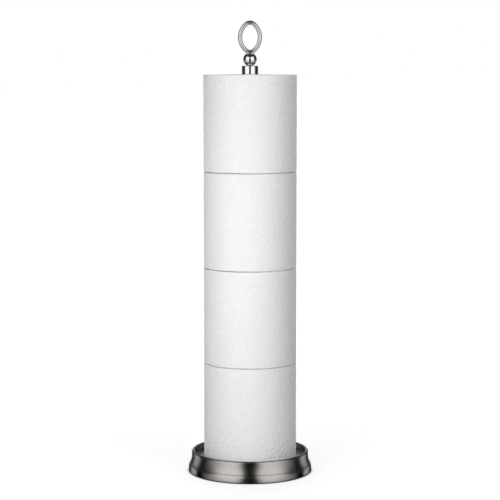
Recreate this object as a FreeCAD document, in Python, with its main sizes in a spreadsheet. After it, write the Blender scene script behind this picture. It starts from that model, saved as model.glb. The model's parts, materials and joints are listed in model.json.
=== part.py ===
"""Free-standing storage stand for four toilet rolls, in millimetres.

A weighted round base with a shallow dish carries an upright post in two lengths. A ball and an
oval wire loop finish its top. Four rolls stand on each other in the dish, round the post.
The origin is on the ground under the post, +Z is up and the front faces -Y.
"""

import FreeCAD
import Part
import Sketcher
import math
import os

ROLL_COUNT = 4
HEXAGON = 6
UP = FreeCAD.Vector(0, 0, 1)
ZERO = "zero"
LEFT = 1
RIGHT = -1

# Driving sizes: each is set by itself
DRIVING = {
    # wound rolls
    "roll_height": 102,
    "roll_diameter": 99,
    "sheet_end_step": 0.4,
    "core_bore": 41,
    "core_wall": 0.7,
    "wrap_clearance": 0.1,
    # spun base shell
    "dish_clearance": 9.8,
    "foot_flare": 3.5,
    "dish_height": 16,
    "dish_depth": 6.5,
    "rim_band": 2.9,
    "gauge": 1,
    "rim_bend_radius": 0.6,
    "dish_corner_radius": 3,
    "plinth_height": 4,
    "ovolo_share": 0.3,
    "shoulder_step": 0.35,
    "quirk_height": 0.8,
    "quirk_depth": 0.5,
    "hem_lift": 0.5,
    "hem_radius": 0.6,
    # bottom plate, foam pad and ballast
    "pad_thickness": 2,
    "pad_margin": 3,
    "pad_bore": 36,
    "plate_gauge": 1.2,
    "plate_bend_radius": 1,
    "plate_clearance": 0.2,
    "well_diameter": 22,
    "ballast_clearance": 0.5,
    "ballast_chamfer": 2,
    # base bolt and its washers
    "bolt_diameter": 6,
    "bolt_clearance": 0.3,
    "bolt_engagement": 12,
    "bolt_tip_chamfer": 0.8,
    "head_diameter": 10.5,
    "head_height": 3.3,
    "head_flat_diameter": 5.6,
    "head_dome_radius": 6,
    "head_recess": 0.5,
    "socket_flats": 4,
    "socket_depth": 2,
    "washer_diameter": 12,
    "washer_thickness": 1.6,
    "lock_diameter": 11,
    "lock_thickness": 1.6,
    "lock_split": 1,
    # post
    "post_diameter": 16,
    "tube_wall": 1,
    "tube_chamfer": 0.3,
    "insert_length": 18,
    "press_clearance": 0.05,
    "thread_clearance": 0.05,
    "joint_diameter": 8,
    "joint_engagement": 14,
    # cap, ball and loop
    "cap_diameter": 17,
    "cap_head_height": 12,
    "cap_reveal": 9,
    "cap_edge_radius": 0.8,
    "spigot_length": 12,
    "ball_diameter": 14.3,
    "ball_flat_diameter": 5.2,
    "stud_diameter": 4,
    "stud_cap_depth": 8,
    "stud_ball_depth": 6,
    "stud_end_clearance": 0.3,
    "loop_width": 25.2,
    "loop_height": 35,
    "loop_wire": 4.4,
    "loop_end_share": 0.6,
    "loop_seat": 1.6,
    "braze_clearance": 0.05,
}

# Sizes that follow from the driving ones, in the order in which they build on each other
DERIVED = {
    # wound rolls: the outer sheet is a spiral of one turn, drawn round two centres
    "roll_radius": "roll_diameter / 2",
    "core_outer": "core_bore + 2 * core_wall",
    "paper_bore": "core_outer + 2 * wrap_clearance",
    "spiral_shift": "sheet_end_step / 4",
    "spiral_right": "roll_radius - spiral_shift",
    "spiral_left": "roll_radius - 3 * spiral_shift",
    "spiral_left_x": "-spiral_left",
    "spiral_left_y": "-spiral_shift",
    "spiral_front_y": "2 * spiral_shift - roll_radius",
    "spiral_under_y": "roll_radius - sheet_end_step",
    # rim: the dish leaves room round the rolls, and its sheet turns over in a half round
    "wall_radius": "roll_radius + dish_clearance",
    "wall_back": "wall_radius + gauge",
    "rim_height": "dish_height + dish_depth",
    "rim_roll_radius": "gauge + rim_bend_radius",
    "rim_spring": "rim_height - rim_roll_radius",
    "rim_crest_under": "rim_height - gauge",
    "crest_radius": "wall_radius + rim_roll_radius",
    "rim_radius": "crest_radius + rim_roll_radius",
    "rim_inside": "rim_radius - gauge",
    "foot_radius": "rim_radius + foot_flare",
    "foot_inside": "foot_radius - gauge",
    "hem_flat": "foot_radius - hem_radius",
    "hem_top": "hem_lift + hem_radius",
    # dish
    "dish_under": "dish_height - gauge",
    "dish_flat_radius": "wall_radius - dish_corner_radius",
    "dish_corner_top": "dish_height + dish_corner_radius",
    "dish_corner_back": "dish_corner_radius + gauge",
    # ogee: a rounded plinth and a cove that share one tangent, with a small shoulder and a groove between
    "cove_top": "rim_spring - rim_band",
    "ogee_run": "foot_flare - shoulder_step",
    "ogee_rise": "cove_top - plinth_height",
    "ogee_reach": "(ogee_run ^ 2 + ogee_rise ^ 2) / (2 * ogee_run)",
    "ovolo_radius": "ogee_reach * ovolo_share",
    "ovolo_back": "ovolo_radius - gauge",
    "cove_radius": "ogee_reach - ovolo_radius",
    "cove_back": "cove_radius + gauge",
    "tangent_across": "(ogee_reach - ogee_run) / ogee_reach",
    "tangent_up": "ogee_rise / ogee_reach",
    "shoulder_radius": "foot_radius - ovolo_radius * (1 - tangent_across)",
    "shoulder_height": "plinth_height + ovolo_radius * tangent_up",
    "shoulder_back_radius": "shoulder_radius - gauge * tangent_across",
    "shoulder_back_height": "shoulder_height - gauge * tangent_up",
    "cove_back_foot": "shoulder_back_radius - shoulder_step",
    "quirk_top": "shoulder_height + quirk_height",
    "cove_drop": "cove_top - quirk_top",
    "cove_foot": "rim_radius + cove_radius - sqrt(cove_radius ^ 2 - cove_drop ^ 2)",
    "quirk_radius": "cove_foot - quirk_depth",
    # bolt stack, downwards from the roof of the well
    "bolt_hole_radius": "bolt_diameter / 2 + bolt_clearance",
    "bolt_hole": "2 * bolt_hole_radius",
    "well_depth": "washer_thickness + lock_thickness + head_height + head_recess",
    "well_roof": "pad_thickness + well_depth",
    "washer_base": "well_roof - washer_thickness",
    "lock_base": "washer_base - lock_thickness",
    "head_base": "lock_base - head_height",
    # bottom plate, pad and ballast
    "plate_radius": "foot_inside - plate_clearance",
    "well_radius": "well_diameter / 2",
    "well_outside": "well_radius + plate_gauge",
    "plate_outer_bend": "plate_bend_radius + plate_gauge",
    "well_flat_radius": "well_radius - plate_bend_radius",
    "well_wall_top": "well_depth - plate_bend_radius",
    "well_roof_top": "well_depth + plate_gauge",
    "mouth_radius": "well_radius + plate_outer_bend",
    "plate_top": "pad_thickness + plate_gauge",
    "pad_diameter": "2 * (plate_radius - pad_margin)",
    "ballast_diameter": "2 * (rim_inside - ballast_clearance)",
    "ballast_height": "dish_under - plate_top",
    "ballast_well": "2 * (mouth_radius + ballast_clearance)",
    # bolt
    "bolt_radius": "bolt_diameter / 2",
    "bolt_tip_radius": "bolt_radius - bolt_tip_chamfer",
    "bolt_reach": "dish_height + bolt_engagement - lock_base",
    "bolt_end": "head_height + bolt_reach",
    "bolt_tip_base": "bolt_end - bolt_tip_chamfer",
    "head_radius": "head_diameter / 2",
    "head_flat_radius": "head_flat_diameter / 2",
    # post: the two lengths reach up to the head of the cap
    "post_top": f"dish_height + {ROLL_COUNT} * roll_height + cap_reveal",
    "tube_length": "(post_top - cap_head_height - dish_height) / 2",
    "tube_bore": "post_diameter - 2 * tube_wall",
    "insert_diameter": "tube_bore - 2 * press_clearance",
    "insert_radius": "insert_diameter / 2",
    "bolt_tap": "bolt_diameter + 2 * thread_clearance",
    "joint_tap": "joint_diameter + 2 * thread_clearance",
    "joint_radius": "joint_diameter / 2",
    "joint_height": "dish_height + tube_length",
    "joint_socket_base": "joint_height - insert_length",
    "joint_stud_base": "joint_height - joint_engagement",
    "joint_stud_end": "joint_engagement + insert_length",
    # cap
    "cap_radius": "cap_diameter / 2",
    "cap_flat_radius": "cap_radius - cap_edge_radius",
    "cap_base": "post_top - cap_head_height - spigot_length",
    "cap_end": "spigot_length + cap_head_height",
    "cap_edge_base": "cap_end - cap_edge_radius",
    "stud_tap_radius": "stud_diameter / 2 + thread_clearance",
    "cap_tap_base": "cap_end - stud_cap_depth",
    "stud_base": "post_top - stud_cap_depth + stud_end_clearance",
    "stud_length": "stud_cap_depth + stud_ball_depth - 2 * stud_end_clearance",
    # ball
    "ball_radius": "ball_diameter / 2",
    "ball_flat_radius": "ball_flat_diameter / 2",
    "ball_centre": "sqrt(ball_radius ^ 2 - ball_flat_radius ^ 2)",
    "ball_top": "ball_centre + ball_radius",
    # loop: an oval of two end bends and two flatter sides, along the middle of the wire
    "loop_half_width": "(loop_width - loop_wire) / 2",
    "loop_half_height": "(loop_height - loop_wire) / 2",
    "loop_end_radius": "loop_half_width * loop_end_share",
    "loop_end_centre": "loop_half_height - loop_end_radius",
    "loop_side_square": "loop_half_width ^ 2 + loop_end_centre ^ 2 - loop_end_radius ^ 2",
    "loop_side_radius": "loop_side_square / (2 * (loop_half_width - loop_end_radius))",
    "loop_side_centre": "loop_side_radius - loop_half_width",
    "loop_side_share": "loop_end_radius / (loop_side_radius - loop_end_radius)",
    "loop_joint_x": "loop_side_centre * loop_side_share",
    "loop_joint_z": "loop_end_centre * (1 + loop_side_share)",
    "loop_joint_x_left": "-loop_joint_x",
    "loop_joint_z_low": "-loop_joint_z",
    "loop_rise": "ball_top - loop_seat + loop_height / 2",
    "loop_centre": "post_top + loop_rise",
    "saddle_wire": "loop_wire + 2 * braze_clearance",
}

doc = FreeCAD.newDocument("toilet_roll_stand")
sheet = doc.addObject("Spreadsheet::Sheet", "sizes")
cells = {name: str(number) for name, number in DRIVING.items()}
cells |= {name: "=" + formula for name, formula in DERIVED.items()}
for row, (name, content) in enumerate(cells.items(), start=1):
    sheet.set(f"A{row}", name)
    sheet.set(f"B{row}", content)
    sheet.setAlias(f"B{row}", name)
doc.recompute()


def value(name):
    """Present value of a named size."""
    return 0.0 if name == ZERO else float(getattr(sheet, name))


def bind(thing, field, name):
    """Tie one field of an object to a named size."""
    thing.setExpression(field, "sizes." + name)


def new_body(label, height=ZERO):
    """Empty body whose own zero stands at a named height above the ground."""
    body = doc.addObject("PartDesign::Body", label)
    body.Label = label
    if height != ZERO:
        bind(body, "Placement.Base.z", height)
    return body


def new_sketch(body, name, role):
    """Sketch on one of the body's own origin planes."""
    sketch = body.newObject("Sketcher::SketchObject", f"{body.Name}_{name}")
    plane = next(p for p in body.Origin.OriginFeatures if p.Role == role)
    sketch.AttachmentSupport = [(plane, "")]
    sketch.MapMode = "FlatFace"
    return sketch


def measure(sketch, kind, name, *ends):
    """Add one dimension to a sketch and tie it to a named size."""
    number = sketch.addConstraint(Sketcher.Constraint(kind, *ends, value(name)))
    sketch.setExpression(f"Constraints[{number}]", "sizes." + name)


def pin(sketch, part, end, across, up):
    """Hold one end of a line or arc at named coordinates."""
    for kind, axis, name in (("DistanceX", -2, across), ("DistanceY", -1, up)):
        if name == ZERO:
            sketch.addConstraint(Sketcher.Constraint("PointOnObject", part, end, axis))
        else:
            measure(sketch, kind, name, -1, 1, part, end)


def bend(start, end, radius, turn):
    """Short arc from start to end that turns left or right."""
    chord = end - start
    square = FreeCAD.Vector(-chord.y, chord.x, 0).normalize()
    rise = math.sqrt(max(radius**2 - (chord.Length / 2) ** 2, 0))
    centre = (start + end) / 2 + square * rise * turn
    first, last = (start, end) if turn == LEFT else (end, start)
    angles = [math.atan2(p.y - centre.y, p.x - centre.x) for p in (first, last)]
    return Part.ArcOfCircle(Part.Circle(centre, UP, radius), *angles)


def outline(sketch, corners):
    """Closed line through named corners: (x, y) after a straight run, (x, y, radius, turn) after an arc."""
    points = [FreeCAD.Vector(value(corner[0]), value(corner[1]), 0) for corner in corners]
    ends = []
    for place, corner in enumerate(corners):
        start, end = points[place - 1], points[place]
        if len(corner) == 2:
            part = sketch.addGeometry(Part.LineSegment(start, end), False)
            ends.append((part, 1, 2))
        else:
            radius, turn = corner[2:]
            part = sketch.addGeometry(bend(start, end, value(radius), turn), False)
            ends.append((part, 1, 2) if turn == LEFT else (part, 2, 1))
    for place, corner in enumerate(corners):
        part, _, last = ends[place]
        following, first, _ = ends[(place + 1) % len(ends)]
        sketch.addConstraint(Sketcher.Constraint("Coincident", part, last, following, first))
        pin(sketch, part, last, corner[0], corner[1])
        if len(corner) > 2:
            measure(sketch, "Radius", corner[2], part)


def round_line(sketch, diameter):
    """Circle of a named diameter about the sketch's origin."""
    circle = Part.Circle(FreeCAD.Vector(), UP, value(diameter) / 2)
    part = sketch.addGeometry(circle, False)
    sketch.addConstraint(Sketcher.Constraint("Coincident", part, 3, -1, 1))
    measure(sketch, "Diameter", diameter, part)


def pad(body, sketch, length):
    """Raise a sketch to a named length."""
    feature = body.newObject("PartDesign::Pad", f"{body.Name}_pad")
    feature.Profile = sketch
    bind(feature, "Length", length)
    return feature


def upward_cut(body, sketch, depth):
    """Cut a sketch on the body's underside upwards to a named depth."""
    feature = body.newObject("PartDesign::Pocket", f"{body.Name}_cut")
    feature.Profile = sketch
    feature.Reversed = True
    bind(feature, "Length", depth)
    return feature


def spun(label, height, corners):
    """Body turned round the upright axis from its half section."""
    body = new_body(label, height)
    sketch = new_sketch(body, "section", "XZ_Plane")
    outline(sketch, corners)
    turned = body.newObject("PartDesign::Revolution", f"{label}_turned")
    turned.Profile = sketch
    turned.ReferenceAxis = (sketch, ["V_Axis"])
    return body


def sleeve(label, height, outer, inner, length):
    """Plain round body with a bore."""
    body = new_body(label, height)
    sketch = new_sketch(body, "section", "XY_Plane")
    round_line(sketch, outer)
    round_line(sketch, inner)
    pad(body, sketch, length)
    return body


def chamfer_rims(body, diameter, size):
    """Chamfer every round edge of a named diameter."""
    doc.recompute()
    base = body.Tip
    edges = []
    for number, edge in enumerate(base.Shape.Edges, start=1):
        if isinstance(edge.Curve, Part.Circle) and math.isclose(edge.Curve.Radius, value(diameter) / 2):
            edges.append(f"Edge{number}")
    feature = body.newObject("PartDesign::Chamfer", f"{body.Name}_chamfer")
    feature.Base = (base, edges)
    bind(feature, "Size", size)


def base_shell():
    """One spun skin of one gauge: dish, rolled rim, cove, a turned groove on the shoulder, and plinth."""
    face = [
        ("hem_flat", "hem_lift"),
        ("foot_radius", "hem_top", "hem_radius", LEFT),
        ("foot_radius", "plinth_height"),
        ("shoulder_radius", "shoulder_height", "ovolo_radius", LEFT),
        ("quirk_radius", "shoulder_height"),
        ("quirk_radius", "quirk_top"),
        ("cove_foot", "quirk_top"),
        ("rim_radius", "cove_top", "cove_radius", RIGHT),
        ("rim_radius", "rim_spring"),
        ("crest_radius", "rim_height", "rim_roll_radius", LEFT),
        ("wall_radius", "rim_spring", "rim_roll_radius", LEFT),
        ("wall_radius", "dish_corner_top"),
        ("dish_flat_radius", "dish_height", "dish_corner_radius", RIGHT),
        ("bolt_hole_radius", "dish_height"),
    ]
    back = [
        ("bolt_hole_radius", "dish_under"),
        ("dish_flat_radius", "dish_under"),
        ("wall_back", "dish_corner_top", "dish_corner_back", LEFT),
        ("wall_back", "rim_spring"),
        ("crest_radius", "rim_crest_under", "rim_bend_radius", RIGHT),
        ("rim_inside", "rim_spring", "rim_bend_radius", RIGHT),
        ("rim_inside", "cove_top"),
        ("cove_back_foot", "shoulder_back_height", "cove_back", LEFT),
        ("shoulder_back_radius", "shoulder_back_height"),
        ("foot_inside", "plinth_height", "ovolo_back", RIGHT),
        ("foot_inside", "hem_lift"),
    ]
    return spun("base_shell", ZERO, face + back)


def bottom_plate():
    """Pressed plate that closes the base, with a well drawn up for the bolt's head."""
    underside = [
        ("bolt_hole_radius", "well_depth"),
        ("well_flat_radius", "well_depth"),
        ("well_radius", "well_wall_top", "plate_bend_radius", RIGHT),
        ("well_radius", "plate_outer_bend"),
        ("mouth_radius", ZERO, "plate_outer_bend", LEFT),
        ("plate_radius", ZERO),
    ]
    top = [
        ("plate_radius", "plate_gauge"),
        ("mouth_radius", "plate_gauge"),
        ("well_outside", "plate_outer_bend", "plate_bend_radius", RIGHT),
        ("well_outside", "well_wall_top"),
        ("well_flat_radius", "well_roof_top", "plate_outer_bend", LEFT),
        ("bolt_hole_radius", "well_roof_top"),
    ]
    return spun("bottom_plate", "pad_thickness", underside + top)


def base_ballast():
    """Cast disc that fills the base, bored for the bolt and counterbored over the plate's well."""
    body = new_body("base_ballast", "plate_top")
    disc = new_sketch(body, "disc", "XY_Plane")
    round_line(disc, "ballast_diameter")
    pad(body, disc, "ballast_height")
    chamfer_rims(body, "ballast_diameter", "ballast_chamfer")
    for name, diameter, depth in (
        ("well", "ballast_well", "well_depth"),
        ("bore", "bolt_hole", "ballast_height"),
    ):
        sketch = new_sketch(body, name, "XY_Plane")
        round_line(sketch, diameter)
        upward_cut(body, sketch, depth)
    return body


def post_bolt():
    """Button-head bolt, head down, with a hexagon socket."""
    body = spun(
        "post_bolt",
        "head_base",
        [
            (ZERO, ZERO),
            ("head_flat_radius", ZERO),
            ("head_radius", "head_height", "head_dome_radius", LEFT),
            ("bolt_radius", "head_height"),
            ("bolt_radius", "bolt_tip_base"),
            ("bolt_tip_radius", "bolt_end"),
            (ZERO, "bolt_end"),
        ],
    )
    sketch = new_sketch(body, "socket", "XY_Plane")
    corner = value("socket_flats") / math.sqrt(3)
    turns = [math.tau * side / HEXAGON for side in range(HEXAGON)]
    points = [FreeCAD.Vector(corner * math.cos(a), corner * math.sin(a), 0) for a in turns]
    ring = sketch.addGeometry(Part.Circle(FreeCAD.Vector(), UP, corner), True)
    sketch.addConstraint(Sketcher.Constraint("Coincident", ring, 3, -1, 1))
    sides = [sketch.addGeometry(Part.LineSegment(points[k - 1], points[k]), False) for k in range(HEXAGON)]
    for place, side in enumerate(sides):
        sketch.addConstraint(Sketcher.Constraint("Coincident", sides[place - 1], 2, side, 1))
        sketch.addConstraint(Sketcher.Constraint("PointOnObject", side, 2, ring))
    for side in sides[1:]:
        sketch.addConstraint(Sketcher.Constraint("Equal", sides[0], side))
    sketch.addConstraint(Sketcher.Constraint("PointOnObject", sides[0], 2, -1))
    measure(sketch, "Distance", "socket_flats", sides[1], 2, sides[4])
    upward_cut(body, sketch, "socket_depth")
    return body


def lock_washer():
    """Spring washer: a ring with one split."""
    body = sleeve("lock_washer", "lock_base", "lock_diameter", "bolt_hole", "lock_thickness")
    sketch = new_sketch(body, "split", "XY_Plane")
    half = value("lock_split") / 2
    reach = value("lock_diameter")
    points = [FreeCAD.Vector(*xy, 0) for xy in ((0, -half), (reach, -half), (reach, half), (0, half))]
    sides = [sketch.addGeometry(Part.LineSegment(points[k - 1], points[k]), False) for k in range(4)]
    for place, side in enumerate(sides):
        sketch.addConstraint(Sketcher.Constraint("Coincident", sides[place - 1], 2, side, 1))
    for kind, side in (("Vertical", 0), ("Horizontal", 1), ("Vertical", 2), ("Horizontal", 3)):
        sketch.addConstraint(Sketcher.Constraint(kind, sides[side]))
    sketch.addConstraint(Sketcher.Constraint("Symmetric", sides[0], 1, sides[0], 2, -1, 1))
    measure(sketch, "DistanceY", "lock_split", sides[0], 2, sides[0], 1)
    measure(sketch, "DistanceX", "lock_diameter", sides[1], 1, sides[1], 2)
    upward_cut(body, sketch, "lock_thickness")
    return body


def post_tube(label, height):
    """One length of the post, its ends broken by a small chamfer."""
    body = sleeve(label, height, "post_diameter", "tube_bore", "tube_length")
    chamfer_rims(body, "post_diameter", "tube_chamfer")
    return body


def joint_stud():
    """Plug in the foot of the upper length, with the stud that screws into the lower length."""
    return spun(
        "joint_stud",
        "joint_stud_base",
        [
            (ZERO, ZERO),
            ("joint_radius", ZERO),
            ("joint_radius", "joint_engagement"),
            ("insert_radius", "joint_engagement"),
            ("insert_radius", "joint_stud_end"),
            (ZERO, "joint_stud_end"),
        ],
    )


def post_cap():
    """Turned plug: a spigot in the tube, a head a little wider than the post, a tapped hole on top."""
    return spun(
        "post_cap",
        "cap_base",
        [
            (ZERO, ZERO),
            ("insert_radius", ZERO),
            ("insert_radius", "spigot_length"),
            ("cap_radius", "spigot_length"),
            ("cap_radius", "cap_edge_base"),
            ("cap_flat_radius", "cap_end", "cap_edge_radius", LEFT),
            ("stud_tap_radius", "cap_end"),
            ("stud_tap_radius", "cap_tap_base"),
            (ZERO, "cap_tap_base"),
        ],
    )


def finial_stud():
    """Plain stud between cap and ball."""
    body = new_body("finial_stud", "stud_base")
    sketch = new_sketch(body, "section", "XY_Plane")
    round_line(sketch, "stud_diameter")
    pad(body, sketch, "stud_length")
    return body


def loop_pipe(body, kind, wire):
    """Round wire along the oval, whose middle is the body's own zero unless the sketches are raised."""
    path = new_sketch(body, "path", "XZ_Plane")
    outline(
        path,
        [
            ("loop_half_width", ZERO, "loop_side_radius", LEFT),
            ("loop_joint_x", "loop_joint_z", "loop_side_radius", LEFT),
            ("loop_joint_x_left", "loop_joint_z", "loop_end_radius", LEFT),
            ("loop_joint_x_left", "loop_joint_z_low", "loop_side_radius", LEFT),
            ("loop_joint_x", "loop_joint_z_low", "loop_end_radius", LEFT),
        ],
    )
    section = new_sketch(body, "wire", "XY_Plane")
    middle = FreeCAD.Vector(value("loop_half_width"), 0, 0)
    ring = section.addGeometry(Part.Circle(middle, UP, value(wire) / 2), False)
    pin(section, ring, 3, "loop_half_width", ZERO)
    measure(section, "Diameter", wire, ring)
    pipe = body.newObject(f"PartDesign::{kind}", f"{body.Name}_pipe")
    pipe.Profile = section
    pipe.Spine = (path, [])
    return path, section


def finial_ball():
    """Turned ball: a flat and a tapped hole below, a saddle for the loop's wire above."""
    body = spun(
        "finial_ball",
        "post_top",
        [
            ("stud_tap_radius", ZERO),
            ("ball_flat_radius", ZERO),
            ("ball_radius", "ball_centre", "ball_radius", LEFT),
            (ZERO, "ball_top", "ball_radius", LEFT),
            (ZERO, "stud_ball_depth"),
            ("stud_tap_radius", "stud_ball_depth"),
        ],
    )
    path, section = loop_pipe(body, "SubtractivePipe", "saddle_wire")
    bind(path, "AttachmentOffset.Base.y", "loop_rise")
    bind(section, "AttachmentOffset.Base.z", "loop_rise")
    return body


def finial_ring():
    """Oval finger loop of round wire, seated in the ball."""
    body = new_body("finial_ring", "loop_centre")
    loop_pipe(body, "AdditivePipe", "loop_wire")
    return body


def roll(number):
    """Cardboard core and wound paper of one roll, counted from the dish upwards."""
    core = sleeve(f"roll_{number}_core", ZERO, "core_outer", "core_bore", "roll_height")
    paper = new_body(f"roll_{number}_paper")
    section = new_sketch(paper, "section", "XY_Plane")
    outline(
        section,
        [
            (ZERO, "spiral_under_y"),
            ("spiral_left_x", "spiral_left_y", "spiral_left", LEFT),
            (ZERO, "spiral_front_y", "spiral_left", LEFT),
            ("spiral_right", "spiral_shift", "spiral_right", LEFT),
            (ZERO, "roll_radius", "spiral_right", LEFT),
        ],
    )
    round_line(section, "paper_bore")
    pad(paper, section, "roll_height")
    for body in (core, paper):
        body.setExpression("Placement.Base.z", f"sizes.dish_height + {number - 1} * sizes.roll_height")
    return [core, paper]


pieces = [
    sleeve("floor_pad", ZERO, "pad_diameter", "pad_bore", "pad_thickness"),
    bottom_plate(),
    base_ballast(),
    base_shell(),
    sleeve("flat_washer", "washer_base", "washer_diameter", "bolt_hole", "washer_thickness"),
    lock_washer(),
    post_bolt(),
    sleeve("foot_insert", "dish_height", "insert_diameter", "bolt_tap", "insert_length"),
    post_tube("lower_tube", "dish_height"),
    sleeve("joint_socket", "joint_socket_base", "insert_diameter", "joint_tap", "insert_length"),
    joint_stud(),
    post_tube("upper_tube", "joint_height"),
    post_cap(),
    finial_stud(),
    finial_ball(),
    finial_ring(),
]
for number in range(1, ROLL_COUNT + 1):
    pieces += roll(number)
doc.recompute()

for thing in doc.Objects:
    if {"Invalid", "Error"} & set(thing.State):
        raise RuntimeError(f"{thing.Name} failed: {thing.State}")
for body in pieces:
    if body.Shape.isNull() or not body.Shape.isValid():
        raise RuntimeError(f"{body.Label} has no valid solid")

os.makedirs("parts", exist_ok=True)
for body in pieces:
    body.Shape.exportStep(f"parts/{body.Label}.step")
    print(f"{body.Label}: {len(body.Shape.Solids)} solid, {body.Shape.Volume:.1f} cubic mm")
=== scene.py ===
"""Looks of a free-standing stand for four toilet rolls, laid out as an add-on.

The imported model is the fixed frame. The metal, the fittings and the cores keep their meshes and get their
finishes here. The paper of each roll is made anew in the space of its solid, and a studio stands round them.
Lengths are in metres, +Z is up and the front faces -Y.
"""

import json
import math

import bpy
import numpy as np
from bpy.props import FloatProperty, FloatVectorProperty, PointerProperty
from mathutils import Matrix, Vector

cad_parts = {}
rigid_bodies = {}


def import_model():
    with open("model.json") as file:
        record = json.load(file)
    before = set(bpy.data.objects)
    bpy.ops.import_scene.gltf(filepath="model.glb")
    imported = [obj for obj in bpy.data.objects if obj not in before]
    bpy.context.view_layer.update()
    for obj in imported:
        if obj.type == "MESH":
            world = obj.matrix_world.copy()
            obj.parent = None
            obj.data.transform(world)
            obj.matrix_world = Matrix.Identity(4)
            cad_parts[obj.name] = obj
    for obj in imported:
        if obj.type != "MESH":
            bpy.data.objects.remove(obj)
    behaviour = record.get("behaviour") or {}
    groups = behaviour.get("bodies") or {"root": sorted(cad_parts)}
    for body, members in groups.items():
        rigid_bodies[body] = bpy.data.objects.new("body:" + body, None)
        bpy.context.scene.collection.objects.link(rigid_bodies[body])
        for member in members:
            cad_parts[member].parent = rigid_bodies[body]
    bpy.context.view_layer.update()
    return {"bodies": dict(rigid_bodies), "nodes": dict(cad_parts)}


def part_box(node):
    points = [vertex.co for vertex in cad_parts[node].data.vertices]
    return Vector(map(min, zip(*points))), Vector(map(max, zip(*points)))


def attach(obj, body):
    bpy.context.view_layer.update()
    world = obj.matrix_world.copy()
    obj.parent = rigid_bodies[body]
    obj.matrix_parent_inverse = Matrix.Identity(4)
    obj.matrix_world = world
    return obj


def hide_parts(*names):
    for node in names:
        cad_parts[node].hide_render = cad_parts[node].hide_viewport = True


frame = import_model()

bl_info = {
    "name": "Toilet roll stand",
    "version": (1, 0, 0),
    "blender": (4, 5, 0),
    "location": "View3D > Sidebar > Roll stand",
    "description": "Dresses a stand for four toilet rolls and sets it in a plain studio",
    "category": "Object",
}

MM = 0.001
WHITE = (1, 1, 1, 1)
SENSOR_WIDTH = 36

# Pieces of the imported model, by finish
ROLLS = sorted(body for body in frame["bodies"] if body.startswith("roll_"))
SATIN_NODES = ("base_shell", "lower_tube", "upper_tube")
BRIGHT_NODES = ("post_cap", "finial_ball")
WIRE_NODES = ("finial_ring",)
ZINC_NODES = ("bottom_plate", "post_bolt", "flat_washer", "lock_washer", "foot_insert", "joint_socket",
              "joint_stud", "finial_stud")

# Winding of the paper: the loose end's place and the gap beside it are in turns round the axis
WRAP_GAP = 0.1 * MM
LOOSE_END = 0.25
LOOSE_GAP = 0.0008
EDGE_STEPS = 5
WALL_FADE = 1.5
SHARP_ANGLE = math.radians(40)

# Glow of the tent near the floor and above it: bearing from the front in degrees, strength
FLOOR_GLOW = ((12, 0.0), (28, 1.0), (46, 1.0), (102, 0.0), (116, 0.0), (124, 0.55), (138, 0.55), (147, 0.04),
              (163, 0.04), (171, 0.38))
WALL_GLOW = ((10, 0.0), (18, 1.25), (60, 1.25), (84, 0.03), (163, 0.03), (171, 0.38))
ROOF_GLOW = 0.03
TENT_STEPS = 241

# Lights: bearings from the front and rises above the floor in degrees, the rest in metres
KEY_LAMP = {"bearing": -30, "away": 0.65, "height": 0.28, "size": 0.35}
FILL_LAMP = {"bearing": 42, "away": 2.2, "height": 1.1, "size": 1.0}
BACK_BEARING = 165
BACK_RISE = 18
BEAM_SPREAD = math.radians(35)

# Floor: its glow fades in from the foot of the base to the open floor, a painted contact shadow at the foot
# and painted shade round the stand
FLOOR_REACH = 30.0
FLOOR_GREY = (0.3, 0.3, 0.3, 1)
FOOT_SHADE = (-0.5 * MM, 2 * MM)
NEAR_GLOW = 0.73
NEAR_RADIUS = 0.12
FAR_RADIUS = 0.9


def length(name, text, default):
    return FloatProperty(name=name, description=text, default=default, unit="LENGTH", precision=5)


def watts(name, text, default):
    return FloatProperty(name=name, description=text, default=default, unit="POWER")


def number(name, text, default):
    return FloatProperty(name=name, description=text, default=default)


def angle(name, text, default):
    return FloatProperty(name=name, description=text, default=default, subtype="ANGLE")


def colour(name, text, default):
    return FloatVectorProperty(name=name, description=text, default=default, subtype="COLOR", size=3,
                               min=0, max=1)


class RollSizes(bpy.types.PropertyGroup):
    """Sizes of the wound rolls."""

    edge_radius: length("Edge radius", "Softness of the paper's outer edges", 0.9 * MM)
    end_inset: length("End inset", "How far the paper's ends stay inside their solid", 0.1 * MM)
    sheet_step: length("Sheet step", "Step where the outer sheet ends", 0.4 * MM)
    emboss_depth: length("Emboss depth", "Depth of the soft embossing", 0.4 * MM)
    emboss_grain: length("Emboss grain", "Width of one embossed cushion", 2.2 * MM)
    ripple_depth: length("Ripple depth", "Unevenness of the layers on the ends", 0.3 * MM)
    mesh_step: length("Mesh step", "Size of one face of the paper's outer sheet", 0.66 * MM)
    end_step: length("End step", "Size of one face across the paper's ends", 1.3 * MM)


class Finishes(bpy.types.PropertyGroup):
    """Colours of the stand and its rolls."""

    satin: colour("Satin nickel", "Brushed base and post", (0.53, 0.512, 0.484))
    bright: colour("Bright nickel", "Cap and ball", (0.86, 0.85, 0.83))
    wire: colour("Wire", "Loop", (0.74, 0.725, 0.70))
    zinc: colour("Zinc", "Plated steel inside the stand", (0.52, 0.54, 0.56))
    iron: colour("Iron", "Cast ballast", (0.055, 0.055, 0.058))
    foam: colour("Foam", "Floor pad", (0.025, 0.025, 0.027))
    paper: colour("Paper", "Tissue", (0.86, 0.86, 0.86))
    board: colour("Board", "Cardboard core", (0.50, 0.41, 0.31))


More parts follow.
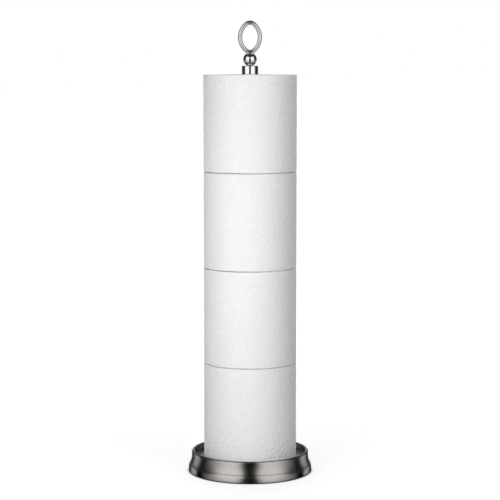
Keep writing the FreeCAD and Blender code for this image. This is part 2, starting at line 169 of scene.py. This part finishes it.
class Studio(bpy.types.PropertyGroup):
    """Camera and lights."""

    lens: number("Lens", "Focal length in millimetres on a 36 mm frame", 121.17)
    distance: length("Distance", "From the post to the camera, along the floor", 1.7813)
    height: length("Height", "Of the camera above the floor", 0.4253)
    tilt: angle("Tilt", "How far the camera looks down", math.radians(6))
    key: watts("Key", "Power of the lamp on the front left", 2.95)
    fill: watts("Fill", "Power of the lamp on the front right", 21.4)
    back: number("Back", "Strength of each of the two lights from behind", 1.3)
    top: number("Top", "Strength of the light from above", 0.8)
    ambient: number("Ambient", "Strength of the light from all round", 0.08)
    bounce: number("Bounce", "Strength of the light from the floor", 0.02)


class Graph:
    """Adds nodes to one tree. Each call gives back an output of the new node."""

    def __init__(self, tree):
        self.tree = tree

    def __call__(self, kind, inputs=(), output=0, **settings):
        node = self.tree.nodes.new(kind)
        for name, setting in settings.items():
            setattr(node, name, setting)
        for key, content in dict(inputs).items():
            if isinstance(content, bpy.types.NodeSocket):
                self.tree.links.new(content, node.inputs[key])
            else:
                node.inputs[key].default_value = content
        return node.outputs[output] if node.outputs else None

    def math(self, operation, *values):
        return self("ShaderNodeMath", enumerate(values), operation=operation)

    def times(self, first, second):
        return self.math("MULTIPLY", first, second)

    def noise(self, vector, scale=1.0, detail=2.0, roughness=0.5):
        return self("ShaderNodeTexNoise",
                    {"Vector": vector, "Scale": scale, "Detail": detail, "Roughness": roughness})

    def ranged(self, value, low, high, start=0.0, end=1.0):
        """Value from start..end brought to low..high."""
        return self("ShaderNodeMapRange",
                    {"Value": value, "From Min": start, "From Max": end, "To Min": low, "To Max": high})

    def vector(self, x, y, z):
        return self("ShaderNodeCombineXYZ", enumerate((x, y, z)))

    def parts(self, vector):
        """The three parts of a vector."""
        node = self.tree.nodes.new("ShaderNodeSeparateXYZ")
        self.tree.links.new(vector, node.inputs[0])
        return node.outputs

    def axis_distance(self, x, y):
        return self.math("SQRT", self.math("ADD", self.times(x, x), self.times(y, y)))

    def object_place(self):
        """Object coordinates as a vector and its three parts."""
        place = self("ShaderNodeTexCoord", output="Object")
        return place, *self.parts(place)

    def stored(self, label):
        """Attribute that the mesh keeps at its points, for a material."""
        return self("ShaderNodeAttribute", output="Fac", attribute_name=label)

    def toned(self, base, tone):
        """A colour brightened or darkened by a factor."""
        return self("ShaderNodeVectorMath", {0: self.vector(*base), 1: self.vector(tone, tone, tone)},
                    operation="MULTIPLY")

    def bump(self, height, strength, distance):
        return self("ShaderNodeBump", {"Height": height, "Strength": strength, "Distance": distance})


def shader(name):
    """Empty material and the graph of its nodes."""
    material = bpy.data.materials.new(name)
    material.use_nodes = True
    material.node_tree.nodes.clear()
    return material, Graph(material.node_tree)


def shown(graph, surface):
    graph("ShaderNodeOutputMaterial", {"Surface": surface})


def nickel(name, base, roughness, anisotropy, line_depth):
    """Nickel with fine lines round the axis, as turning and brushing leave them."""
    line_run, line_pitch, line_slope = 14, 2600, 0.37
    cloud_grain, unevenness = 38, 0.14
    material, graph = shader(name)
    place, x, y, z = graph.object_place()
    along = graph.math("MULTIPLY_ADD", graph.axis_distance(x, y), line_slope, z)
    lines = graph.noise(graph.vector(graph.times(x, line_run), graph.times(y, line_run),
                                     graph.times(along, line_pitch)), detail=3, roughness=0.65)
    cloud = graph.noise(place, scale=cloud_grain, detail=3)
    surface = graph("ShaderNodeBsdfPrincipled", {
        "Base Color": graph.toned(base, graph.ranged(lines, 0.88, 1.10)),
        "Metallic": 1.0,
        "Roughness": graph.math("MULTIPLY_ADD", graph.math("ADD", lines, cloud), unevenness,
                                roughness - unevenness),
        "Anisotropic": anisotropy,
        "Anisotropic Rotation": 0.25,
        "Tangent": graph("ShaderNodeTangent", direction_type="RADIAL", axis="Z"),
        "Normal": graph.bump(lines, line_depth, 0.04 * MM),
    })
    shown(graph, surface)
    return material


def zinc(base):
    """Plated steel: pale, a little blue, with a fine spangle."""
    spangle_size, cloud_grain = 420, 900
    material, graph = shader("zinc plate")
    place = graph("ShaderNodeTexCoord", output="Object")
    spangle = graph("ShaderNodeTexVoronoi", {"Vector": place, "Scale": spangle_size})
    cloud = graph.noise(place, scale=cloud_grain, detail=4)
    surface = graph("ShaderNodeBsdfPrincipled", {
        "Base Color": graph.toned(base, graph.ranged(cloud, 0.82, 1.12)),
        "Metallic": 1.0,
        "Roughness": graph.ranged(spangle, 0.28, 0.46),
        "Normal": graph.bump(cloud, 0.2, 0.03 * MM),
    })
    shown(graph, surface)
    return material


def cast_iron(base):
    """Rough casting with a thin coat of dark primer."""
    sand_grain, patch_size = 1100, 70
    material, graph = shader("cast iron")
    place = graph("ShaderNodeTexCoord", output="Object")
    grain = graph.noise(place, scale=sand_grain, detail=5, roughness=0.6)
    patches = graph.noise(place, scale=patch_size, detail=3)
    surface = graph("ShaderNodeBsdfPrincipled", {
        "Base Color": graph.toned(base, graph.ranged(patches, 0.6, 1.5)),
        "Metallic": 0.4,
        "Roughness": graph.ranged(grain, 0.55, 0.85),
        "Normal": graph.bump(grain, 0.6, 0.2 * MM),
    })
    shown(graph, surface)
    return material


def foam(base):
    """Closed-cell foam with small pores."""
    pore_size = 1500
    material, graph = shader("foam")
    place = graph("ShaderNodeTexCoord", output="Object")
    cells = graph("ShaderNodeTexVoronoi", {"Vector": place, "Scale": pore_size})
    surface = graph("ShaderNodeBsdfPrincipled", {
        "Base Color": graph.toned(base, graph.ranged(cells, 0.7, 1.6)),
        "Roughness": graph.ranged(cells, 0.75, 0.95),
        "Specular IOR Level": 0.3,
        "Normal": graph.bump(cells, 0.5, 0.2 * MM),
    })
    shown(graph, surface)
    return material


def tissue(base, circumference):
    """Soft paper: creped and embossed on the sheet, layered on the ends, with painted shade darkening the
    embossed creases.
    """
    crepe_run, crepe_rise, fibre_grain, fibre_height = 2400, 320, 1600, 0.5
    end_layers, layer_wander, layer_grain = 88.0, 60, 1.9
    material, graph = shader("tissue paper")
    place, x, y, z = graph.object_place()
    turn, share, wall, crease = (graph.stored(label) for label in ("turn", "share", "wall", "crease"))
    run = graph.times(turn, circumference)
    crepe = graph.noise(graph.vector(graph.times(run, crepe_run), 0.0, graph.times(z, crepe_rise)),
                        detail=3, roughness=0.6)
    fibre = graph.noise(place, scale=fibre_grain, detail=4, roughness=0.6)
    spiral = graph.math("MULTIPLY_ADD", share, end_layers, turn)
    layers = graph.noise(graph.vector(spiral, graph.times(x, layer_wander), graph.times(y, layer_wander)),
                         scale=layer_grain, detail=2)
    pattern = graph("ShaderNodeMix", {0: wall, 2: layers, 3: crepe})
    height = graph.math("MULTIPLY_ADD", fibre, fibre_height, pattern)
    # Fibre tone, times painted shade that darkens the embossed creases
    sheet_tone_and_crease_shade = graph.times(graph.ranged(fibre, 0.97, 1.02), graph.ranged(crease, 1.03, 0.968))
    end_tone = graph.ranged(layers, 0.80, 1.03, 0.25, 0.75)
    tone = graph("ShaderNodeMix", {0: wall, 2: end_tone, 3: sheet_tone_and_crease_shade})
    surface = graph("ShaderNodeBsdfPrincipled", {
        "Base Color": graph.toned(base, tone),
        "Roughness": graph.ranged(fibre, 0.88, 1.0),
        "Specular IOR Level": 0.15,
        "Sheen Weight": 0.12,
        "Sheen Roughness": 0.6,
        "Normal": graph.bump(height, 0.35, 0.08 * MM),
    })
    shown(graph, surface)
    return material


def core_board(base):
    """Grey-brown board wound in a spiral, with flecks of fibre."""
    helix_pitch, seam_start, seam_end = 0.075, 0.488, 0.497
    fibre_grain, seam_depth, seam_shade = 700, 1.5, 0.35
    material, graph = shader("core board")
    place, x, y, z = graph.object_place()
    turn = graph.math("DIVIDE", graph.math("ARCTAN2", y, x), math.tau)
    helix = graph.math("FRACT", graph.math("ADD", turn, graph.math("DIVIDE", z, helix_pitch)))
    seam = graph.ranged(graph.math("ABSOLUTE", graph.math("SUBTRACT", helix, 0.5)), 0.0, 1.0,
                        seam_start, seam_end)
    fibre = graph.noise(place, scale=fibre_grain, detail=5, roughness=0.65)
    height = graph.math("SUBTRACT", fibre, graph.times(seam, seam_depth))
    tone = graph.math("SUBTRACT", graph.ranged(fibre, 0.7, 1.3), graph.times(seam, seam_shade))
    surface = graph("ShaderNodeBsdfPrincipled", {
        "Base Color": graph.toned(base, tone),
        "Roughness": graph.ranged(fibre, 0.78, 0.95),
        "Specular IOR Level": 0.25,
        "Normal": graph.bump(height, 0.4, 0.1 * MM),
    })
    shown(graph, surface)
    return material


def give(nodes, material):
    """Give CAD nodes a finish."""
    for name in nodes:
        frame["nodes"][name].material_slots[0].material = material


def linked(name, content):
    """New object in the scene."""
    piece = bpy.data.objects.new(name, content)
    bpy.context.scene.collection.objects.link(piece)
    return piece


def place_piece(mesh, name, body, node):
    """Put a finished mesh into the scene as the piece that stands for a CAD node."""
    piece = linked(name, mesh)
    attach(piece, body)
    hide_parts(node)
    return piece


def ring_mesh(name, points):
    """Closed mesh from a grid of points [row, place round the axis, xyz], joined up both ways."""
    rows, around = points.shape[:2]
    row, place = np.meshgrid(np.arange(rows), np.arange(around), indexing="ij")
    following, beside = (row + 1) % rows, (place + 1) % around
    faces = np.stack([row * around + place, row * around + beside,
                      following * around + beside, following * around + place], axis=-1)
    mesh = bpy.data.meshes.new(name)
    mesh.from_pydata(points.reshape(-1, 3).tolist(), [], faces.reshape(-1, 4).tolist())
    mesh.polygons.foreach_set("use_smooth", [True] * len(mesh.polygons))
    mesh.set_sharp_from_angle(angle=SHARP_ANGLE)
    return mesh


def corner_arc(radius, across, up, start):
    """Quarter turn about a point of the half section, anticlockwise from an angle in degrees."""
    angles = np.radians(start + np.linspace(0, 90, EDGE_STEPS))
    return [(across + radius * math.cos(a), up + radius * math.sin(a)) for a in angles]


def wound_form(name, low, high, bore, sizes):
    """Plain form of one roll's paper, which keeps each point's place on the sheet in attributes."""
    outer = high.y
    edge, step = sizes.edge_radius, sizes.mesh_step
    bottom, top = low.z + sizes.end_inset, high.z - sizes.end_inset
    across = np.linspace(bore, outer - edge, round((outer - edge - bore) / sizes.end_step))[:-1]
    up = np.linspace(bottom + edge, top - edge, round((top - bottom) / step))[1:-1]
    section = [(r, bottom) for r in across]
    section += corner_arc(edge, outer - edge, bottom + edge, -90)
    section += [(outer, z) for z in up]
    section += corner_arc(edge, outer - edge, top - edge, 0)
    section += [(r, top) for r in across[::-1]]
    section = np.array(section)
    around = round(math.tau * outer / step)
    turn = np.linspace(0, 1 - LOOSE_GAP, around)
    angles = math.tau * (turn + LOOSE_END)
    share = (section[:, 0] - bore) / (outer - bore)
    from_end = np.minimum(section[:, 1] - bottom, top - section[:, 1])
    wall = np.clip(from_end / (WALL_FADE * edge), 0, 1)
    points = np.stack([section[:, :1] * np.cos(angles), section[:, :1] * np.sin(angles),
                       np.repeat(section[:, 1:], around, axis=1)], axis=-1)
    mesh = ring_mesh(name, points)
    for label, values in (("turn", np.tile(turn, len(section))), ("share", np.repeat(share, around)),
                          ("wall", np.repeat(wall, around))):
        mesh.attributes.new(label, "FLOAT", "POINT").data.foreach_set("value", values.astype(np.float32))
    return mesh


def wound_tree(material, circumference):
    """Geometry nodes that wind the form: the outer sheet spirals in and is embossed, and the ends ripple."""
    cushion_squeeze, cushion_start, cushion_end, cushion_softness = 0.75, 0.1, 0.7, 0.1
    ripple_layers, ripple_wander, ripple_grain, ripple_start, ripple_end = 14.0, 25.0, 1.3, 0.3, 0.7
    sheet_shift, end_shift = 7.0, 3.0
    tree = bpy.data.node_groups.new("wound paper", "GeometryNodeTree")
    tree.is_modifier = True
    tree.interface.new_socket(name="Form", in_out="INPUT", socket_type="NodeSocketGeometry")
    for label in ("Sheet step", "Emboss depth", "Emboss grain", "Ripple depth", "Seed"):
        tree.interface.new_socket(name=label, in_out="INPUT", socket_type="NodeSocketFloat")
    tree.interface.new_socket(name="Paper", in_out="OUTPUT", socket_type="NodeSocketGeometry")
    graph = Graph(tree)
    given = tree.nodes.new("NodeGroupInput").outputs
    turn, share, wall = (graph("GeometryNodeInputNamedAttribute", {"Name": label}, data_type="FLOAT")
                         for label in ("turn", "share", "wall"))
    x, y, z = graph.parts(graph("GeometryNodeInputPosition"))

    run = graph.math("DIVIDE", graph.times(turn, circumference), given["Emboss grain"])
    rise = graph.math("DIVIDE", graph.times(z, cushion_squeeze), given["Emboss grain"])
    sheet = graph.vector(run, rise, graph.times(given["Seed"], sheet_shift))
    cells = graph("ShaderNodeTexVoronoi", {"Vector": sheet, "Scale": 1.0, "Smoothness": cushion_softness},
                  feature="SMOOTH_F1")
    creases = graph.ranged(cells, 0.0, 1.0, cushion_start, cushion_end)
    cushions = graph.times(graph.math("SUBTRACT", creases, 0.5), wall)
    winding = graph.times(graph.math("SUBTRACT", 1.0, turn), share)
    inwards = graph.math("ADD", graph.times(cushions, given["Emboss depth"]),
                         graph.times(winding, given["Sheet step"]))

    spiral = graph.math("ADD", graph.times(share, ripple_layers), turn)
    shifted = graph.math("MULTIPLY_ADD", y, ripple_wander, graph.times(given["Seed"], end_shift))
    layers = graph.noise(graph.vector(spiral, graph.times(x, ripple_wander), shifted), scale=ripple_grain)
    unevenness = graph.times(graph.ranged(layers, 0.0, 1.0, ripple_start, ripple_end), given["Ripple depth"])
    ripple = graph.times(graph.math("SUBTRACT", 1.0, wall), unevenness)
    middle = graph("GeometryNodeAttributeStatistic", {"Geometry": given["Form"], 2: z}, "Mean",
                   data_type="FLOAT")
    side = graph.math("SIGN", graph.math("SUBTRACT", middle, z))

    pull = graph.math("DIVIDE", graph.times(inwards, -1.0), graph.axis_distance(x, y))
    offset = graph.vector(graph.times(x, pull), graph.times(y, pull), graph.times(side, ripple))
    moved = graph("GeometryNodeSetPosition", {"Geometry": given["Form"], "Offset": offset})
    # The crease depth is kept so that the tissue material can paint shade into the creases
    marked = graph("GeometryNodeStoreNamedAttribute", {"Geometry": moved, "Name": "crease", "Value": creases},
                   data_type="FLOAT", domain="POINT")
    real = graph("GeometryNodeRealizeInstances", {"Geometry": marked})
    graph("NodeGroupOutput", {0: graph("GeometryNodeSetMaterial", {"Geometry": real, "Material": material})})
    return tree


def wound(mesh, tree, inputs):
    """Run the winding nodes on a form and give back the plain mesh."""
    form = linked("form", mesh)
    modifier = form.modifiers.new("winding", "NODES")
    modifier.node_group = tree
    for socket in tree.interface.items_tree:
        if socket.in_out == "INPUT" and socket.name in inputs:
            modifier[socket.identifier] = inputs[socket.name]
    graph = bpy.context.evaluated_depsgraph_get()
    made = bpy.data.meshes.new_from_object(form.evaluated_get(graph), preserve_all_data_layers=True,
                                           depsgraph=graph)
    bpy.data.objects.remove(form)
    return made


class STAND_OT_nickel(bpy.types.Operator):
    """Give base, post and finial their nickel"""

    bl_idname = "stand.nickel"
    bl_label = "Nickel pieces"

    def execute(self, context):
        finishes = context.scene.stand_finishes
        satin = nickel("satin nickel", finishes.satin, roughness=0.30, anisotropy=0.9, line_depth=0.25)
        bright = nickel("bright nickel", finishes.bright, roughness=0.12, anisotropy=0.2, line_depth=0.06)
        wire = nickel("satin wire", finishes.wire, roughness=0.26, anisotropy=0.0, line_depth=0.1)
        give(SATIN_NODES, satin)
        give(BRIGHT_NODES, bright)
        give(WIRE_NODES, wire)
        return {"FINISHED"}


class STAND_OT_fittings(bpy.types.Operator):
    """Give the ballast, the plate, the pad and the fixings their finishes"""

    bl_idname = "stand.fittings"
    bl_label = "Hidden fittings"

    def execute(self, context):
        finishes = context.scene.stand_finishes
        give(ZINC_NODES, zinc(finishes.zinc))
        give(["base_ballast"], cast_iron(finishes.iron))
        give(["floor_pad"], foam(finishes.foam))
        return {"FINISHED"}


class STAND_OT_rolls(bpy.types.Operator):
    """Wind the paper of the four rolls"""

    bl_idname = "stand.rolls"
    bl_label = "Wound rolls"

    def execute(self, context):
        sizes, finishes = context.scene.stand_rolls, context.scene.stand_finishes
        circumference = math.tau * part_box(f"{ROLLS[0]}_paper")[1].y
        tree = wound_tree(tissue(finishes.paper, circumference), circumference)
        inputs = {"Sheet step": sizes.sheet_step, "Emboss depth": sizes.emboss_depth,
                  "Emboss grain": sizes.emboss_grain, "Ripple depth": sizes.ripple_depth}
        for seed, body in enumerate(ROLLS, start=1):
            low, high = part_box(f"{body}_paper")
            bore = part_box(f"{body}_core")[1].y + WRAP_GAP
            form = wound_form(f"{body}_sheet", low, high, bore, sizes)
            mesh = wound(form, tree, {**inputs, "Seed": float(seed)})
            piece = place_piece(mesh, f"{body}_sheet", body, f"{body}_paper")
            # The metal mirrors the tent alone
            piece.visible_glossy = False
        return {"FINISHED"}


class STAND_OT_cores(bpy.types.Operator):
    """Give the cores of the four rolls their board"""

    bl_idname = "stand.cores"
    bl_label = "Cores"

    def execute(self, context):
        give([f"{body}_core" for body in ROLLS], core_board(context.scene.stand_finishes.board))
        return {"FINISHED"}


def seen_white(graph):
    """1 for rays that show the surroundings: from the camera, off metal and through glass."""
    path = graph.tree.nodes.new("ShaderNodeLightPath").outputs
    seen = graph.math("MAXIMUM", path["Is Camera Ray"], path["Is Glossy Ray"])
    return graph.math("MAXIMUM", seen, path["Is Transmission Ray"])


def set_world(scene, studio):
    """White to look at, with a faint light from all round."""
    scene.world = bpy.data.worlds.new("studio")
    scene.world.use_nodes = True
    scene.world.node_tree.nodes.clear()
    graph = Graph(scene.world.node_tree)
    strength = graph.ranged(seen_white(graph), studio.ambient, 1.0)
    background = graph("ShaderNodeBackground", {"Color": WHITE, "Strength": strength})
    graph("ShaderNodeOutputWorld", {"Surface": background})


def set_floor(studio, foot):
    """Floor that looks white and keeps the shadow of the stand; its glow is dimmed at the foot as a painted
    contact shadow and a little round the stand as painted shade.
    """
    material, graph = shader("studio floor")
    x, y = graph.object_place()[1:3]
    radius = graph.axis_distance(x, y)
    # Painted contact shadow at the foot, and painted shade round the stand that fades out towards the open
    # floor
    painted_contact_shadow = graph.ranged(radius, 0.0, 1.0, *(foot + shade for shade in FOOT_SHADE))
    painted_shade_round_stand = graph.ranged(radius, NEAR_GLOW, 1.0, NEAR_RADIUS, FAR_RADIUS)
    glow = graph.times(graph.ranged(seen_white(graph), studio.bounce, 1.0), graph.times(painted_contact_shadow, painted_shade_round_stand))
    shown(graph, graph("ShaderNodeAddShader", {
        0: graph("ShaderNodeBsdfDiffuse", {"Color": FLOOR_GREY}),
        1: graph("ShaderNodeEmission", {"Color": WHITE, "Strength": glow}),
    }))
    corners = ((-1, -1), (1, -1), (1, 1), (-1, 1))
    mesh = bpy.data.meshes.new("floor")
    points = [(FLOOR_REACH * across, FLOOR_REACH * back, 0) for across, back in corners]
    mesh.from_pydata(points, [], [(0, 1, 2, 3)])
    mesh.materials.append(material)
    floor = linked("floor", mesh)
    floor.visible_glossy = False


def set_tent(foot):
    """Light tent for the metal alone to mirror.

    It stands along the rays that the foot of the base mirrors, so that its glow follows the bearing right up
    to the foot.
    """
    turns = np.radians(np.linspace(-90, 90, TENT_STEPS))
    bearings = np.degrees(2 * np.abs(turns))
    low, high = (np.interp(bearings, *zip(*table)) for table in (FLOOR_GLOW, WALL_GLOW))
    none, roof = np.zeros(TENT_STEPS), np.full(TENT_STEPS, ROOF_GLOW)
    # Next to the foot the tent's floor has no glow and fades in outwards: painted contact shade that the foot
    # of the base mirrors
    tucked, contact_shade_end, glow_start, reach = -5 * MM, 1 * MM, 7 * MM, 2.2
    lift, skirt, wall, eaves, peak = 0.2 * MM, 0.22, 0.30, 2.0, 2.6
    # Each row's start from the axis, run outwards, height and glow
    rows = [(foot, tucked, lift, none), (foot, contact_shade_end, lift, none), (foot, glow_start, lift, low),
            (foot, reach, lift, low), (foot, reach, skirt, low), (foot, reach, wall, high),
            (foot, reach, eaves, high), (foot, reach, peak, roof), (0, lift, peak, roof)]
    points = [(start * math.sin(t) + run * math.sin(2 * t), -start * math.cos(t) - run * math.cos(2 * t), z)
              for start, run, z, _ in rows for t in turns]
    faces = [(k * TENT_STEPS + i, k * TENT_STEPS + (i + 1) % TENT_STEPS,
              (k + 1) * TENT_STEPS + (i + 1) % TENT_STEPS, (k + 1) * TENT_STEPS + i)
             for k in range(len(rows) - 1) for i in range(TENT_STEPS)]
    mesh = bpy.data.meshes.new("tent")
    mesh.from_pydata(points, [], faces)
    strengths = np.concatenate([row[3] for row in rows]).astype(np.float32)
    mesh.attributes.new("glow", "FLOAT", "POINT").data.foreach_set("value", strengths)
    material, graph = shader("tent")
    # A ray that has met paper or floor sees no glow, so the metal throws no light on them
    path = graph.tree.nodes.new("ShaderNodeLightPath").outputs
    direct = graph.math("LESS_THAN", path["Diffuse Depth"], 0.5)
    strength = graph.times(graph.stored("glow"), direct)
    shown(graph, graph("ShaderNodeEmission", {"Color": WHITE, "Strength": strength}))
    mesh.materials.append(material)
    piece = linked("tent", mesh)
    piece.visible_camera = piece.visible_diffuse = piece.visible_shadow = piece.visible_transmission = False


def toward(bearing, rise):
    """Direction from the post at a bearing from the front and a rise above the floor, in degrees."""
    turn, lift = math.radians(bearing), math.radians(rise)
    return Vector((math.sin(turn) * math.cos(lift), -math.cos(turn) * math.cos(lift), math.sin(lift)))


def lit(name, light, source):
    """Light that shines from a direction and isn't seen itself."""
    piece = linked(name, light)
    piece.rotation_euler = source.to_track_quat("Z", "Y").to_euler()
    piece.visible_camera = piece.visible_glossy = False
    return piece


def lamp(name, power, bearing, away, height, size):
    """Soft square lamp that faces the post at its own height."""
    light = bpy.data.lights.new(name, "AREA")
    light.size = size
    light.energy = power
    source = toward(bearing, 0)
    lit(name, light, source).location = Vector((0, 0, height)) + away * source


def beam(name, strength, bearing, rise):
    """Wide soft light from far off."""
    light = bpy.data.lights.new(name, "SUN")
    light.angle = BEAM_SPREAD
    light.energy = strength
    lit(name, light, toward(bearing, rise))


def set_camera(scene, studio):
    """Camera in front, looking a little down."""
    camera = linked("camera", bpy.data.cameras.new("camera"))
    camera.data.sensor_width = SENSOR_WIDTH
    camera.data.lens = studio.lens
    camera.location = (0, -studio.distance, studio.height)
    camera.rotation_euler = (math.radians(90) - studio.tilt, 0, 0)
    scene.camera = camera


class STAND_OT_stage(bpy.types.Operator):
    """Set up floor, light tent, lamps and camera"""

    bl_idname = "stand.stage"
    bl_label = "Studio"

    def execute(self, context):
        scene, studio = context.scene, context.scene.stand_studio
        scene.view_settings.view_transform = "Standard"
        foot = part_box("base_shell")[1].x
        set_world(scene, studio)
        set_floor(studio, foot)
        set_tent(foot)
        lamp("key", studio.key, **KEY_LAMP)
        lamp("fill", studio.fill, **FILL_LAMP)
        beam("back left", studio.back, -BACK_BEARING, BACK_RISE)
        beam("back right", studio.back, BACK_BEARING, BACK_RISE)
        beam("top", studio.top, 0, 90)
        set_camera(scene, studio)
        return {"FINISHED"}


class VIEW3D_PT_roll_stand(bpy.types.Panel):
    """Shows the settings of the stand and the buttons that dress it"""

    bl_idname = "VIEW3D_PT_roll_stand"
    bl_label = "Toilet roll stand"
    bl_space_type = "VIEW_3D"
    bl_region_type = "UI"
    bl_category = "Roll stand"

    def draw(self, context):
        for group in (context.scene.stand_rolls, context.scene.stand_finishes, context.scene.stand_studio):
            for field in group.bl_rna.properties:
                if field.identifier in group.__annotations__:
                    self.layout.prop(group, field.identifier)
        for operator in OPERATORS:
            self.layout.operator(operator.bl_idname)


OPERATORS = (STAND_OT_nickel, STAND_OT_fittings, STAND_OT_rolls, STAND_OT_cores, STAND_OT_stage)
GROUPS = {"stand_rolls": RollSizes, "stand_finishes": Finishes, "stand_studio": Studio}


def register():
    for kind in (*GROUPS.values(), *OPERATORS, VIEW3D_PT_roll_stand):
        bpy.utils.register_class(kind)
    for name, kind in GROUPS.items():
        setattr(bpy.types.Scene, name, PointerProperty(type=kind))


def unregister():
    for name in GROUPS:
        delattr(bpy.types.Scene, name)
    for kind in (VIEW3D_PT_roll_stand, *reversed(OPERATORS), *reversed(GROUPS.values())):
        bpy.utils.unregister_class(kind)


def main():
    register()
    bpy.ops.stand.nickel()
    bpy.ops.stand.fittings()
    bpy.ops.stand.rolls()
    bpy.ops.stand.cores()
    bpy.ops.stand.stage()


if __name__ == "__main__":
    main()
